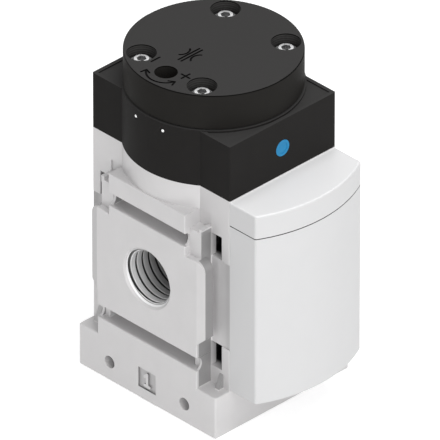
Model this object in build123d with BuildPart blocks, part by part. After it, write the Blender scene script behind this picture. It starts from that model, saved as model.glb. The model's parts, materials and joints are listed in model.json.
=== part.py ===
import os
from math import cos, pi, radians, sin, sqrt

from build123d import *

os.makedirs("parts", exist_ok=True)

# Clearances
fit_gap = 0.05
running_gap = 0.05
seat_gap = 0.1

# Base block and body walls
base_width = 62.0
base_depth = 64.7
base_height = 16.0
base_corner = 0.8
foot_chamfer = 0.4
body_width = 48.7
body_setback = 0.05
body_corner = 0.5
shoulder_height = 8.9
bulge_setback = 0.5

# Port plate, grooves and ledges on both port sides
port_height = 48.4
plate_height = 41.2
plate_half = 26.7
plate_thickness = 4.6
plate_margin_fall = 0.85
plate_corner_r = 3.8
plate_bevel = 3.1
plate_rim_r = 0.4
wing_drop = 3.6
wing_rise = 0.8
tab_drop = 5.4
groove_gap = 5.1
upper_half = 18.0
lower_half = 23.5
ledge_height = 7.3
upper_ledge_rim_r = 0.3
lower_ledge_rim_r = 0.5
end_wall = 1.1
cutter_r = 3.0
cutter_offset = 0.45

# Posts, pockets, slots and ribs beside the grooves
upper_post_setback = 2.3
upper_post_rise = 1.6
lip_width = 1.2
lip_rise = 3.0
lip_overhang = 0.3
lower_post_width = 3.4
lower_post_setback = 2.7
pocket_depth = 0.5
slot_width = 5.1
slot_height = 9.3
slot_depth = 6.8
slot_reach = 2.4
slot_undercut = 3.0
slot_overrun = 1.0
rib_width = 1.8
rib_height = 5.6
rib_foot = 2.4
rib_root = 2.0
panel_depth = 0.4

# Threaded ports and the passages behind them
port_r = 10.4775
port_depth = 14.5
port_chamfer = 0.7
chamber_r = 14.5
web_thickness = 3.5
web_drop = 4.9
seat_bore_r = 9.5
seat_lip_width = 1.0
seat_lip_height = 1.0
passage_width = 11.0
inlet_length = 5.5
inlet_floor = 22.0
inlet_roof = 36.0
outlet_length = 9.0
outlet_inset = 1.0
outlet_sill = 1.0
outlet_roof = 58.0
supply_r = 1.4
supply_inset = 1.0

# Channels beside the throttle, through body and housing
channel_r = 1.0
channel_inset = 8.0
channel_spread = 12.4
channel_drop = 2.7

# Holes and numbers on the sides of the base
side_hole_r = 2.3
side_hole_depth = 6.0
side_hole_spacing = 35.4
side_hole_height = 7.3
number_box_width = 8.2
number_box_height = 7.7
number_box_middle = 8.15
number_depth = 0.7
number_height = 5.6
number_stroke = 1.1

# Bottom plug, its seal and its ring
plug_bore_r = 17.0
plug_bore_depth = 10.2
plug_recess = 2.4
plug_spigot_height = 1.8
plug_boss_r = 7.0
plug_boss_height = 2.0
plug_dish_r = 9.0
plug_dish_depth = 4.0
ring_groove_depth = 1.2
ring_thickness = 1.2
ring_width = 3.2
ring_gap_width = 12.0
lug_r = 1.9
lug_hole_r = 0.9
seal_cord = 2.0
seal_groove_width = 2.4
seal_squeeze = 0.06

# Guide plate between body and housing
guide_r = 20.0
guide_thickness = 4.0
guide_hub_r = 8.0
guide_hub_length = 16.0
stem_seal_lift = 6.0

# Valve train
stem_r = 4.0
neck_r = 3.0
valve_stroke = 4.0
poppet_r = 12.4
poppet_thickness = 3.5
poppet_boss_r = 6.2
poppet_boss_height = 2.0
poppet_seal_r = 11.6
poppet_seal_inner_r = 5.0
poppet_seal_depth = 2.2
poppet_relief = 0.4
nut_flats = 10.0
nut_height = 3.5
nut_protrusion = 0.6
spring_wire_r = 0.8
spring_coil_r = 8.2
spring_turns = 5

# Pilot housing
housing_height = 21.3
housing_floor = 4.3
rim_drop = 0.2
rim_width = 1.4
rim_depth = 0.45
piston_bore_r = 16.5
piston_thickness = 7.5
stroke_reserve = 3.4
piston_land = 4.4
piston_step = 1.1
piston_groove_depth = 2.2
piston_groove_height = 2.6
piston_groove_lift = 0.9
piston_hub_r = 7.0
piston_dish_r = 13.0
piston_dish_depth = 4.0
gasket_thickness = 0.6
gasket_inset = 2.3
gasket_inner_r = 18.0
gasket_allowance = 0.4
stem_hole_play = 0.6
vent_r = 1.0

# Cap and its screws
cap_setback = 0.6
cap_height = 13.4
cap_edge_r = 0.35
cap_gap_height = 0.6
cap_gap_depth = 0.7
cap_gasket_thickness = 0.5
cap_gasket_r = 28.0
cap_cavity_r = 16.0
cap_cavity_depth = 3.0
screw_span_x = 38.6
screw_span_y = 28.4
screw_r = 2.0
screw_length = 40.0
screw_flange_r = 4.0
screw_flange_height = 1.2
screw_head_r = 2.5
screw_head_height = 1.4
screw_head_drop = 2.2
screw_socket_flats = 3.0
screw_socket_depth = 1.8
counterbore_r = 5.05
screw_play = 0.15
tap_runout = 2.0

# Throttle
throttle_inset = 8.6
access_r = 3.9
bush_r = 4.2
bush_step = 5.5
bush_step_play = 1.0
bush_margin = 1.3
throttle_chamber_r = 3.2
throttle_chamber_height = 3.0
throttle_thread_r = 2.5
throttle_shank_r = 3.3
throttle_pitch = 0.75
throttle_turns = 4
throttle_rise = 3.0
orifice_r = 1.35
orifice_height = 3.1
needle_r = 2.0
needle_length = 4.0
needle_tip_r = 0.3
slot_cut_width = 1.0
slot_cut_depth = 1.4
throttle_seal_cord = 1.0
needle_neck = 0.5
throttle_groove_height = 1.2
throttle_groove_lift = 0.9

# Small plugs
ball_r = 0.8
ball_drop = 3.1
ball_sink = 0.75
front_plug_r = 3.0
front_plug_length = 4.0
front_plug_lift = 10.15
front_plug_dish_r = 2.1
front_plug_dish_depth = 0.15

# Front cover
cover_radius = 50.5
cover_wall = 2.2
cover_corner_r = 1.0
cover_edge_r = 0.6
cover_base_gap = 0.6
cover_top_gap = 0.4
strip_height = 9.0
seam_gap = 0.3
peg_r = 2.0
peg_length = 5.0
peg_spread = 30.0
peg_inset = 9.0
bar_height = 7.0

# Marks engraved in the cap
mark_depth = 0.35
mark_stroke = 0.72
mark_length = 3.7
minus_inset = 3.0
minus_y = 8.0
plus_inset = 2.8
plus_y = -6.3
arrow_r = 6.6
arrow_middle_angle = 187.0
arrow_half_angle = 65.0
arrow_head = 2.2
arrow_barb_angle = 40.0
symbol_x = -8.8
symbol_y = 2.0
symbol_length = 9.6
symbol_gap = 1.3
symbol_arc_r = 3.2
symbol_arc_gap = 0.85
symbol_arc_half_angle = 50.0

# Levels and places worked out from the sizes above
body_depth = base_depth - 2 * body_setback
axis_y = (cover_radius - base_depth / 2) / 2
side_x = body_width / 2
front_y = body_depth / 2
bulge_r = base_width / 2 - bulge_setback
cap_r = bulge_r - cap_setback
port_x = base_width / 2
port_end = port_x - port_depth
plate_top = port_height + plate_height / 2
plate_bottom = port_height - plate_height / 2
wing_top = plate_top - wing_drop
wing_crest = wing_top + wing_rise
tab_level = plate_bottom + tab_drop
lower_ledge_top = plate_bottom - groove_gap
upper_ledge_bottom = plate_top + groove_gap
upper_ledge_top = upper_ledge_bottom + ledge_height
body_top = upper_ledge_top + shoulder_height
panel_bottom = lower_ledge_top + slot_height
upper_slot_top = wing_top + slot_height
slot_outer = lower_half + slot_width
web_top = port_height - web_drop
web_bottom = web_top - web_thickness
lip_bottom = web_bottom - seat_lip_height
plug_top = plug_bore_depth + plug_spigot_height
guide_bottom = body_top - guide_thickness
housing_top = body_top + housing_height
block_top = housing_top - rim_drop
piston_floor = body_top + housing_floor
piston_bottom = piston_floor + valve_stroke + stroke_reserve
piston_top = piston_bottom + piston_thickness
cap_top = housing_top + cap_height
screw_seat = cap_top - screw_head_drop - screw_head_height - screw_flange_height
screw_tip = screw_seat - screw_length
poppet_top = lip_bottom - seat_gap
poppet_bottom = poppet_top - poppet_thickness
poppet_shoulder = poppet_top - poppet_relief
throttle_x = throttle_inset - bulge_r
channel_x = channel_inset - bulge_r
throttle_travel = throttle_turns * throttle_pitch
seal_reach = bush_step_play + throttle_groove_lift + throttle_groove_height
bush_length = bush_step + seal_reach + throttle_travel + bush_margin
bush_top = housing_top - 2 * fit_gap
bush_bottom = bush_top - bush_length
chamber_floor = bush_bottom - throttle_chamber_height
shank_bottom = bush_bottom + bush_step + bush_step_play
shank_top = housing_top + throttle_rise
seam_z = body_top - cover_top_gap - strip_height
strip_bottom = seam_z + seam_gap
strip_top = body_top - cover_top_gap
cover_bottom = base_height + cover_base_gap
ball_z = housing_top - ball_drop
front_plug_z = body_top + front_plug_lift

minus_x = throttle_x + minus_inset
plus_x = throttle_x + plus_inset

screw_places = [
    (side_sign * screw_span_x / 2, end_sign * screw_span_y / 2)
    for side_sign in (-1, 1)
    for end_sign in (-1, 1)
]
channel_places = [(channel_x, -channel_spread / 2), (channel_x, channel_spread / 2)]
cover_peg_places = [
    (side_sign * peg_spread / 2, height)
    for side_sign in (-1, 1)
    for height in (cover_bottom + peg_inset, seam_z - peg_inset)
]
strip_middle = (strip_bottom + strip_top - cover_wall) / 2
strip_peg_places = [
    (side_sign * peg_spread / 2, strip_middle) for side_sign in (-1, 1)
]


def level(z):
    """Horizontal plane at height z, centred on the valve axis."""
    return Plane(origin=(0, axis_y, z))


def side_plane(x):
    """Upright plane facing +X, at distance x from the valve axis."""
    return Plane(origin=(x, axis_y, 0), x_dir=(0, 1, 0), z_dir=(1, 0, 0))


def port_face(side):
    """Outer plane of one port side, facing outwards: side is -1 or 1."""
    return Plane(origin=(side * port_x, axis_y, 0), x_dir=(0, side, 0), z_dir=(side, 0, 0))


def front_plane(y):
    """Upright plane facing the front, at distance y in front of the valve axis."""
    return Plane(origin=(0, axis_y - y, 0), x_dir=(1, 0, 0), z_dir=(0, -1, 0))


section_plane = front_plane(0)
valve_axis = Axis((0, axis_y, 0), (0, 0, 1))
throttle_axis = Axis((throttle_x, axis_y, 0), (0, 0, 1))
port_axis = Axis((0, axis_y, port_height), (1, 0, 0))


def draw_polygon(points):
    """Closed face with straight sides."""
    Polygon(*points, align=None)


def draw_cord(middle_r, height, cord):
    """Section of a round seal ring in its groove."""
    with Locations((middle_r, height)):
        Circle((cord - seal_squeeze) / 2)


def draw_bulge(round_r, inset=0):
    """Round outline, cut flat where the front and back walls are nearer."""
    Circle(round_r)
    Rectangle(2 * round_r, body_depth - 2 * inset, mode=Mode.INTERSECT)


def draw_block_outline(inset, round_r):
    """Outline shared by the pilot housing and its gasket."""
    draw_bulge(round_r, inset)
    RectangleRounded(body_width - 2 * inset, body_depth - 2 * inset, body_corner)


def draw_cover_outline(inset):
    """Plan of the front cover: flat sides and a front curved about the valve axis."""
    half = side_x - inset
    reach = cover_radius - inset
    corner = sqrt(reach**2 - half**2)
    with BuildLine() as outline:
        Line((-half, -front_y), (-half, -corner))
        ThreePointArc((-half, -corner), (0, -reach), (half, -corner))
        Line((half, -corner), (half, -front_y))
        Line((half, -front_y), (-half, -front_y))
    make_face(outline.edges())


def draw_stroke(start, end, width):
    """Straight stroke with round ends."""
    middle = ((start[0] + end[0]) / 2, (start[1] + end[1]) / 2)
    SlotCenterPoint(middle, end, width)


def draw_bow(middle, radius, start_angle, arc_angle, width):
    """Curved stroke with round ends."""
    with BuildLine() as bow:
        CenterArc(middle, radius, start_angle, arc_angle)
    SlotArc(bow.edges()[0], width)


def find_rim(part, bottom, top):
    """Edges in the two port planes whose middles lie between two levels."""
    return part.edges().filter_by(
        lambda edge: all(abs(abs((edge @ end).X) - port_x) < fit_gap for end in (0, 1))
        and bottom < edge.center().Z < top
    )


def draw_number(digit):
    """Figure 1 or 2 in strokes, centred on the origin."""
    top = (number_height - number_stroke) / 2
    half = top / 2
    draw_stroke((-half, -top), (half, -top), number_stroke)
    if digit == 1:
        draw_stroke((0, -top), (0, top), number_stroke)
        draw_stroke((0, top), (-half, top - half), number_stroke)
    else:
        draw_bow((0, top - half), half, 0, 180, number_stroke)
        draw_stroke((half, top - half), (-half, -top), number_stroke)


def draw_marks():
    """Minus, plus, turning arrow and throttle symbol for the cap."""
    half = mark_length / 2
    draw_stroke((minus_x - half, minus_y), (minus_x + half, minus_y), mark_stroke)
    draw_stroke((plus_x - half, plus_y), (plus_x + half, plus_y), mark_stroke)
    draw_stroke((plus_x, plus_y - half), (plus_x, plus_y + half), mark_stroke)
    arrow_start = arrow_middle_angle - arrow_half_angle
    draw_bow((throttle_x, 0), arrow_r, arrow_start, 2 * arrow_half_angle, mark_stroke)
    for end in (-1, 1):
        tip_angle = radians(arrow_middle_angle + end * arrow_half_angle)
        tip = (throttle_x + arrow_r * cos(tip_angle), arrow_r * sin(tip_angle))
        for barb in (-1, 1):
            barb_angle = tip_angle - end * pi / 2 + barb * radians(arrow_barb_angle)
            barb_end = (
                tip[0] + arrow_head * cos(barb_angle),
                tip[1] + arrow_head * sin(barb_angle),
            )
            draw_stroke(tip, barb_end, mark_stroke)
    for line_side in (-1, 1):
        line_y = symbol_y + line_side * symbol_gap / 2
        draw_stroke(
            (symbol_x - symbol_length / 2, line_y),
            (symbol_x + symbol_length / 2, line_y),
            mark_stroke,
        )
        bow_middle = (symbol_x, line_y + line_side * (symbol_arc_gap + symbol_arc_r))
        start_angle = -90 * line_side - symbol_arc_half_angle
        draw_bow(bow_middle, symbol_arc_r, start_angle, 2 * symbol_arc_half_angle, mark_stroke)


# Body casting
with BuildPart() as valve_body:
    # Port plates with upper tab, wings and lower tab; their margins fall back a little
    with BuildSketch(side_plane(0)) as plate_profile:
        draw_polygon(
            [
                (0, plate_top),
                (upper_half, plate_top),
                (upper_half, wing_top),
                (plate_half, wing_crest),
                (plate_half, tab_level + plate_bevel),
                (lower_half, tab_level),
                (lower_half, plate_bottom),
                (0, plate_bottom),
            ]
        )
        wing_corner = plate_profile.vertices().group_by(Axis.X)[-1].sort_by(Axis.Y)[-1]
        fillet(wing_corner, plate_corner_r)
        mirror(about=Plane.YZ)
    extrude(amount=port_x, both=True)
    with BuildSketch(level(plate_bottom)):
        draw_polygon(
            [
                (0, 0),
                (0, plate_half),
                (port_x - plate_margin_fall, plate_half),
                (port_x, lower_half),
                (port_x, 0),
            ]
        )
        mirror(about=Plane.XZ)
        mirror(about=Plane.YZ)
    extrude(amount=plate_height, mode=Mode.INTERSECT)
    fillet(find_rim(valve_body, wing_top, plate_top + fit_gap), plate_rim_r)
    fillet(find_rim(valve_body, plate_bottom - fit_gap, tab_level + plate_bevel), plate_rim_r)

    # Undercut behind the plates' margins
    with BuildSketch(side_plane(0)):
        with GridLocations(2 * plate_half, 0, 2, 1):
            with Locations((0, port_height)):
                Rectangle(2 * (plate_half - lower_half), plate_height)
    extrude(amount=port_x - plate_thickness, both=True, mode=Mode.SUBTRACT)

    # Ledges above and below the plates
    with BuildSketch(side_plane(0)):
        with Locations((0, upper_ledge_bottom)):
            Rectangle(2 * upper_half, ledge_height, align=(Align.CENTER, Align.MIN))
    extrude(amount=port_x, both=True)
    with BuildSketch(side_plane(0)):
        Rectangle(2 * lower_half, lower_ledge_top, align=(Align.CENTER, Align.MIN))
    extrude(amount=port_x, both=True)

    # Walls that close the ends of the grooves, hollowed by a round cutter
    for half, gap_bottom in ((upper_half, plate_top), (lower_half, lower_ledge_top)):
        for end in (-1, 1):
            with BuildSketch(front_plane(end * (half - end_wall / 2))):
                with Locations((0, gap_bottom + groove_gap / 2)):
                    Rectangle(base_width, groove_gap)
                    with GridLocations(2 * (port_x + cutter_offset), 0, 2, 1):
                        Circle(cutter_r, mode=Mode.SUBTRACT)
            extrude(amount=end_wall / 2, both=True)

    # Posts behind the walls, with a lip on the outer side of each upper one
    upper_post_middle = (upper_half + lower_half) / 2
    lower_post_middle = lower_half - lower_post_width / 2
    lip_middle = lower_half - lip_width / 2
    crest_middle = lip_middle + lip_overhang / 2
    upper_post_top = upper_ledge_bottom + upper_post_rise
    lip_top = upper_ledge_bottom + lip_rise
    for middle, width, setback, bottom, top in (
        (upper_post_middle, lower_half - upper_half, upper_post_setback, tab_level, upper_post_top),
        (lip_middle, lip_width, upper_post_setback, upper_post_top, lip_top),
        (crest_middle, lip_width + lip_overhang, upper_post_setback, upper_slot_top, lip_top),
        (lower_post_middle, lower_post_width, lower_post_setback, lower_ledge_top, plate_bottom),
    ):
        with BuildSketch(level(bottom)):
            with GridLocations(0, 2 * middle, 1, 2):
                Rectangle(base_width - 2 * setback, width)
        extrude(amount=top - bottom)

    # Base, core and the shoulder that carries the housing
    with BuildSketch(level(0)):
        RectangleRounded(base_width, base_depth, base_corner)
    extrude(amount=base_height)
    chamfer(valve_body.edges().group_by(Axis.Z)[0], foot_chamfer)
    with BuildSketch(level(base_height)):
        RectangleRounded(body_width, body_depth, body_corner)
    extrude(amount=body_top - base_height)
    with BuildSketch(level(upper_ledge_top)):
        draw_bulge(bulge_r)
    extrude(amount=shoulder_height)

    # Rounded edges round the ledges' faces
    fillet(find_rim(valve_body, plate_top + fit_gap, body_top), upper_ledge_rim_r)
    fillet(find_rim(valve_body, foot_chamfer + fit_gap, plate_bottom - fit_gap), lower_ledge_rim_r)

    # Shallow panels in the corner strips
    with BuildSketch(side_plane(side_x - panel_depth), side_plane(-side_x)):
        with Locations((0, (wing_top + panel_bottom) / 2)):
            Rectangle(body_depth, wing_top - panel_bottom)
            Rectangle(2 * lower_half, wing_top - panel_bottom, mode=Mode.SUBTRACT)
    extrude(amount=panel_depth, mode=Mode.SUBTRACT)

    # Slots at the corners, wider inside, and shallow pockets above the posts
    for slot_bottom in (wing_top, lower_ledge_top):
        with BuildSketch(level(slot_bottom)):
            draw_polygon(
                [
                    (side_x + slot_overrun, lower_half),
                    (side_x - slot_reach, lower_half),
                    (side_x - slot_reach, lower_half - slot_undercut),
                    (side_x - slot_depth, lower_half - slot_undercut),
                    (side_x - slot_depth, slot_outer),
                    (side_x + slot_overrun, slot_outer),
                ]
            )
            mirror(about=Plane.XZ)
            mirror(about=Plane.YZ)
        extrude(amount=slot_height, mode=Mode.SUBTRACT)
    pocket_edge = lower_half - lip_width
    for pocket_outer, bottom in ((pocket_edge, upper_post_top), (lower_half, lip_top)):
        with BuildSketch(level(bottom)):
            with GridLocations(body_width - pocket_depth, upper_half + pocket_outer, 2, 2):
                Rectangle(pocket_depth, pocket_outer - upper_half)
        extrude(amount=upper_ledge_top - bottom, mode=Mode.SUBTRACT)

    # Gusset ribs at the foot of the corner strips
    for rib_side in (-1, 1):
        with BuildSketch(front_plane(rib_side * slot_outer)):
            draw_polygon(
                [
                    (side_x - rib_root, base_height),
                    (side_x + rib_foot, base_height),
                    (side_x, base_height + rib_height),
                    (side_x - rib_root, base_height + rib_height),
                ]
            )
            mirror(about=Plane.YZ)
        extrude(amount=rib_width / 2, both=True)

    # Plug bore, lower chamber, seat with its lip, upper chamber and guide seat
    ring_groove_bottom = plug_recess - ring_thickness - 2 * fit_gap
    with BuildSketch(section_plane):
        draw_polygon(
            [
                (0, 0),
                (plug_bore_r, 0),
                (plug_bore_r, ring_groove_bottom),
                (plug_bore_r + ring_groove_depth, ring_groove_bottom),
                (plug_bore_r + ring_groove_depth, plug_recess),
                (plug_bore_r, plug_recess),
                (plug_bore_r, plug_bore_depth),
                (chamber_r, plug_bore_depth),
                (chamber_r, web_bottom),
                (seat_bore_r + seat_lip_width, web_bottom),
                (seat_bore_r + seat_lip_width, lip_bottom),
                (seat_bore_r, lip_bottom),
                (seat_bore_r, web_top),
                (chamber_r, web_top),
                (chamber_r, guide_bottom),
                (guide_r, guide_bottom),
                (guide_r, body_top),
                (0, body_top),
            ]
        )
    revolve(axis=valve_axis, mode=Mode.SUBTRACT)

    # Threaded ports with their entry chamfers
    with BuildSketch(section_plane):
        draw_polygon(
            [
                (port_x, port_height),
                (port_x, port_height + port_r + port_chamfer),
                (port_x - port_chamfer, port_height + port_r),
                (port_end, port_height + port_r),
                (port_end, port_height),
            ]
        )
        mirror(about=Plane.YZ)
    revolve(axis=port_axis, mode=Mode.SUBTRACT)

    # Inlet passage, down from the first port and in below the seat
    inlet_x = -port_end - inlet_length
    with BuildSketch(side_plane(inlet_x)):
        with Locations((0, inlet_floor)):
            Rectangle(passage_width, port_height - inlet_floor, align=(Align.CENTER, Align.MIN))
    extrude(amount=inlet_length, mode=Mode.SUBTRACT)
    with BuildSketch(side_plane(inlet_x)):
        with Locations((0, inlet_floor)):
            Rectangle(passage_width, inlet_roof - inlet_floor, align=(Align.CENTER, Align.MIN))
    extrude(amount=-inlet_x, mode=Mode.SUBTRACT)

    # Outlet passage, from above the seat into the second port
    outlet_floor = web_top + outlet_sill
    with BuildSketch(side_plane(port_end + outlet_inset)):
        with Locations((0, outlet_floor)):
            Rectangle(passage_width, outlet_roof - outlet_floor, align=(Align.CENTER, Align.MIN))
    extrude(amount=-outlet_length, mode=Mode.SUBTRACT)

    # Supply channel from the first port up to the throttle
    with BuildSketch(level(body_top)):
        with Locations((throttle_x, 0)):
            Circle(supply_r)
    extrude(amount=port_height + port_r - supply_inset - body_top, mode=Mode.SUBTRACT)

    # Two channels from the upper chamber up to the housing
    channel_z = guide_bottom - channel_drop
    channel_reach = -channel_x - sqrt(chamber_r**2 - (channel_spread / 2) ** 2) + channel_r
    with BuildSketch(level(body_top)):
        with Locations(*channel_places):
            Circle(channel_r)
    extrude(amount=channel_z - body_top, mode=Mode.SUBTRACT)
    with BuildSketch(side_plane(channel_x)):
        with Locations((0, channel_z)):
            with GridLocations(channel_spread, 0, 2, 1):
                Circle(channel_r)
    extrude(amount=channel_reach, mode=Mode.SUBTRACT)

    # Tapped holes for the long cap screws
    with BuildSketch(level(body_top)):
        with Locations(*screw_places):
            Circle(screw_r + fit_gap)
    extrude(amount=screw_tip - tap_runout - body_top, mode=Mode.SUBTRACT)

    # Peg holes for the front cover
    with BuildSketch(front_plane(front_y)):
        with Locations(*cover_peg_places, *strip_peg_places):
            Circle(peg_r + fit_gap)
    extrude(amount=-peg_length - fit_gap, mode=Mode.SUBTRACT)

    # Blind holes and raised port numbers on the sides of the base
    for side, digit in ((-1, 1), (1, 2)):
        with BuildSketch(port_face(side)):
            with Locations((0, side_hole_height)):
                with GridLocations(side_hole_spacing, 0, 2, 1):
                    Circle(side_hole_r)
        extrude(amount=-side_hole_depth, mode=Mode.SUBTRACT)
        with BuildSketch(port_face(side)):
            with Locations((0, number_box_middle)):
                Rectangle(number_box_width, number_box_height)
        extrude(amount=-number_depth, mode=Mode.SUBTRACT)
        with BuildSketch(port_face(side).offset(-number_depth)):
            with Locations((0, number_box_middle)):
                draw_number(digit)
        extrude(amount=number_depth)

valve_body.part.label = "valve_body"
export_step(valve_body.part, "parts/valve_body.step")


# Bottom plug with its seal groove and spring seat
plug_r = plug_bore_r - fit_gap
plug_groove_middle = (plug_recess + plug_bore_depth) / 2
plug_groove_bottom = plug_groove_middle - seal_groove_width / 2
plug_groove_top = plug_groove_middle + seal_groove_width / 2
with BuildPart() as bottom_plug:
    with BuildSketch(section_plane):
        draw_polygon(
            [
                (0, plug_recess),
                (plug_r, plug_recess),
                (plug_r, plug_groove_bottom),
                (plug_bore_r - seal_cord, plug_groove_bottom),
                (plug_bore_r - seal_cord, plug_groove_top),
                (plug_r, plug_groove_top),
                (plug_r, plug_bore_depth),
                (chamber_r - 2 * fit_gap, plug_bore_depth),
                (chamber_r - 2 * fit_gap, plug_top),
                (plug_boss_r, plug_top),
                (plug_boss_r, plug_top + plug_boss_height),
                (0, plug_top + plug_boss_height),
            ]
        )
    revolve(axis=valve_axis)
    with BuildSketch(level(plug_recess)):
        Circle(plug_dish_r)
    extrude(amount=plug_dish_depth, mode=Mode.SUBTRACT)
bottom_plug.part.label = "bottom_plug"
export_step(bottom_plug.part, "parts/bottom_plug.step")

with BuildPart() as bottom_plug_seal:
    with BuildSketch(section_plane):
        draw_cord(plug_bore_r - seal_cord / 2, plug_groove_middle, seal_cord)
    revolve(axis=valve_axis)
bottom_plug_seal.part.label = "bottom_plug_seal"
export_step(bottom_plug_seal.part, "parts/bottom_plug_seal.step")

# Open ring with two pliers holes, sprung into the groove below the plug
with BuildPart() as retaining_ring:
    ring_outer_r = plug_bore_r + ring_groove_depth - 2 * fit_gap
    lug_x = ring_gap_width / 2 + lug_r
    lug_y = sqrt((plug_bore_r - lug_r - fit_gap) ** 2 - lug_x**2)
    with BuildSketch(level(ring_groove_bottom + fit_gap)):
        Circle(ring_outer_r)
        Circle(ring_outer_r - ring_width, mode=Mode.SUBTRACT)
        with Locations((0, ring_outer_r)):
            Rectangle(ring_gap_width, 2 * ring_width + lug_r, mode=Mode.SUBTRACT)
        with Locations((-lug_x, lug_y), (lug_x, lug_y)):
            Circle(lug_r)
            Circle(lug_hole_r, mode=Mode.SUBTRACT)
    extrude(amount=ring_thickness)
retaining_ring.part.label = "retaining_ring"
export_step(retaining_ring.part, "parts/retaining_ring.step")

# Guide plate: flange in the body, hub round the stem
guide_middle = guide_bottom + guide_thickness / 2
hub_bottom = guide_bottom - guide_hub_length
stem_seal_z = hub_bottom + stem_seal_lift
with BuildPart() as guide_plate:
    guide_flange_r = guide_r - fit_gap
    guide_bore_r = stem_r + running_gap
    with BuildSketch(section_plane):
        draw_polygon(
            [
                (guide_bore_r, hub_bottom),
                (guide_hub_r, hub_bottom),
                (guide_hub_r, guide_bottom),
                (guide_flange_r, guide_bottom),
                (guide_flange_r, guide_middle - seal_groove_width / 2),
                (guide_r - seal_cord, guide_middle - seal_groove_width / 2),
                (guide_r - seal_cord, guide_middle + seal_groove_width / 2),
                (guide_flange_r, guide_middle + seal_groove_width / 2),
                (guide_flange_r, body_top),
                (guide_bore_r, body_top),
                (guide_bore_r, stem_seal_z + seal_groove_width / 2),
                (stem_r + seal_cord, stem_seal_z + seal_groove_width / 2),
                (stem_r + seal_cord, stem_seal_z - seal_groove_width / 2),
                (guide_bore_r, stem_seal_z - seal_groove_width / 2),
            ]
        )
    revolve(axis=valve_axis)
guide_plate.part.label = "guide_plate"
export_step(guide_plate.part, "parts/guide_plate.step")

with BuildPart() as guide_seal:
    with BuildSketch(section_plane):
        draw_cord(guide_r - seal_cord / 2, guide_middle, seal_cord)
    revolve(axis=valve_axis)
guide_seal.part.label = "guide_seal"
export_step(guide_seal.part, "parts/guide_seal.step")

with BuildPart() as stem_seal:
    with BuildSketch(section_plane):
        draw_cord(stem_r + seal_cord / 2, stem_seal_z, seal_cord)
    revolve(axis=valve_axis)
stem_seal.part.label = "stem_seal"
export_step(stem_seal.part, "parts/stem_seal.step")

# Valve train: stem, piston and poppet, held together by two nuts
boss_bottom = poppet_bottom - poppet_boss_height
with BuildPart() as valve_stem:
    stem_bottom = boss_bottom - nut_height - nut_protrusion
    stem_top = piston_top + nut_height + nut_protrusion
    with BuildSketch(section_plane):
        draw_polygon(
            [
                (0, stem_bottom),
                (neck_r, stem_bottom),
                (neck_r, poppet_shoulder),
                (stem_r, poppet_shoulder),
                (stem_r, piston_bottom),
                (neck_r, piston_bottom),
                (neck_r, stem_top),
                (0, stem_top),
            ]
        )
    revolve(axis=valve_axis)
valve_stem.part.label = "valve_stem"
export_step(valve_stem.part, "parts/valve_stem.step")

with BuildPart() as lock_nuts:
    for nut_bottom in (boss_bottom - nut_height, piston_top):
        with BuildSketch(level(nut_bottom)):
            RegularPolygon(nut_flats / 2, 6, major_radius=False)
            Circle(neck_r + fit_gap, mode=Mode.SUBTRACT)
        extrude(amount=nut_height)
lock_nuts.part.label = "lock_nuts"
export_step(lock_nuts.part, "parts/lock_nuts.step")

with BuildPart() as valve_poppet:
    pocket_floor = poppet_top - poppet_seal_depth
    with BuildSketch(section_plane):
        draw_polygon(
            [
                (neck_r + fit_gap, boss_bottom),
                (poppet_boss_r, boss_bottom),
                (poppet_boss_r, poppet_bottom),
                (poppet_r, poppet_bottom),
                (poppet_r, poppet_shoulder),
                (poppet_seal_r, poppet_shoulder),
                (poppet_seal_r, pocket_floor),
                (poppet_seal_inner_r, pocket_floor),
                (poppet_seal_inner_r, poppet_shoulder),
                (neck_r + fit_gap, poppet_shoulder),
            ]
        )
    revolve(axis=valve_axis)
valve_poppet.part.label = "valve_poppet"
export_step(valve_poppet.part, "parts/valve_poppet.step")

with BuildPart() as poppet_seal:
    with BuildSketch(level(pocket_floor)):
        Circle(poppet_seal_r - fit_gap)
        Circle(poppet_seal_inner_r + fit_gap, mode=Mode.SUBTRACT)
    extrude(amount=poppet_seal_depth)
poppet_seal.part.label = "poppet_seal"
export_step(poppet_seal.part, "parts/poppet_seal.step")

# Piston: sealed land below, stepped back above so that the channels stay open
piston_groove_bottom = piston_bottom + piston_groove_lift
piston_groove_top = piston_groove_bottom + piston_groove_height
piston_r = piston_bore_r - running_gap
with BuildPart() as control_piston:
    piston_step_z = piston_bottom + piston_land
    with BuildSketch(section_plane):
        draw_polygon(
            [
                (neck_r + fit_gap, piston_bottom),
                (piston_hub_r, piston_bottom),
                (piston_hub_r, piston_bottom + piston_dish_depth),
                (piston_dish_r, piston_bottom + piston_dish_depth),
                (piston_dish_r, piston_bottom),
                (piston_r, piston_bottom),
                (piston_r, piston_groove_bottom),
                (piston_r - piston_groove_depth, piston_groove_bottom),
                (piston_r - piston_groove_depth, piston_groove_top),
                (piston_r, piston_groove_top),
                (piston_r, piston_step_z),
                (piston_r - piston_step, piston_step_z),
                (piston_r - piston_step, piston_top),
                (neck_r + fit_gap, piston_top),
            ]
        )
    revolve(axis=valve_axis)
control_piston.part.label = "control_piston"
export_step(control_piston.part, "parts/control_piston.step")

with BuildPart() as piston_seal:
    with BuildSketch(level(piston_groove_bottom + fit_gap)):
        Circle(piston_r)
        Circle(piston_r - piston_groove_depth + fit_gap, mode=Mode.SUBTRACT)
    extrude(amount=piston_groove_height - 2 * fit_gap)
piston_seal.part.label = "piston_seal"
export_step(piston_seal.part, "parts/piston_seal.step")

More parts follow.
